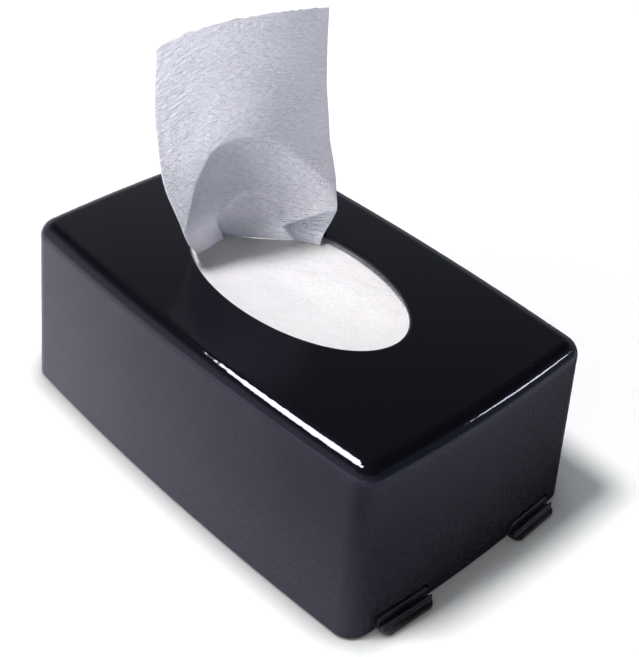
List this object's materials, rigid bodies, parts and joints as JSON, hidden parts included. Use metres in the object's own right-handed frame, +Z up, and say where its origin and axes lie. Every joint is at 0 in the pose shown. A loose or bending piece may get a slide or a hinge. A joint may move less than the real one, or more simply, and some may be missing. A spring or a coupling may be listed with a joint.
{
  "type": "neck strip dispenser",
  "caption": "Hinged black box that gives out crepe paper neck strips through an oval opening in its glossy top.",
  "frame": {"origin": "middle of the footprint, on the surface that the feet stand on", "axes": "+X towards the front end with the two finger latches, +Y towards the far long side, +Z up"},
  "size_m": [0.1938, 0.1172, 0.1566],
  "materials": {
    "case_black": "glossy top, satin walls",
    "base_black": "satin",
    "pin_steel": "drawn",
    "foot_rubber": "matte",
    "strip_paper": "creped"
  },
  "bodies": {
    "base": {"base_plate": "base_black", "foot_front_near": "foot_rubber", "foot_front_far": "foot_rubber", "foot_rear_near": "foot_rubber", "foot_rear_far": "foot_rubber", "hinge_pin_near": "pin_steel", "hinge_pin_far": "pin_steel", "strip_pack_1": "strip_paper", "strip_pack_2": "strip_paper", "strip_pack_3": "strip_paper", "strip_pack_4": "strip_paper", "next_strip": "strip_paper"},
    "cover": {"cover": "case_black"},
    "latch_near": {"latch_near": "base_black"},
    "latch_far": {"latch_far": "base_black"},
    "leading_strip": {"leading_strip": "strip_paper"}
  },
  "joints": [
    {"name": "cover_hinge", "type": "hinge", "parent": "base", "child": "cover", "pos_m": [-0.09437, 0, 0.0032], "axis": [0, -1, 0], "range_deg": [0, 90]},
    {"name": "latch_near_press", "type": "hinge", "parent": "base", "child": "latch_near", "pos_m": [0.08397, -0.03221, 0.0029], "axis": [-0.0512, -0.9987, 0], "range_deg": [0, 6], "stiffness_Nm_per_rad": 0.1},
    {"name": "latch_far_press", "type": "hinge", "parent": "base", "child": "latch_far", "pos_m": [0.08397, 0.03221, 0.0029], "axis": [0.0512, -0.9987, 0], "range_deg": [0, 6], "stiffness_Nm_per_rad": 0.1},
    {"name": "leading_strip_pull", "type": "slide", "parent": "cover", "child": "leading_strip", "axis": [0, 0, 1], "range_m": [0, 0.1]}
  ]
}
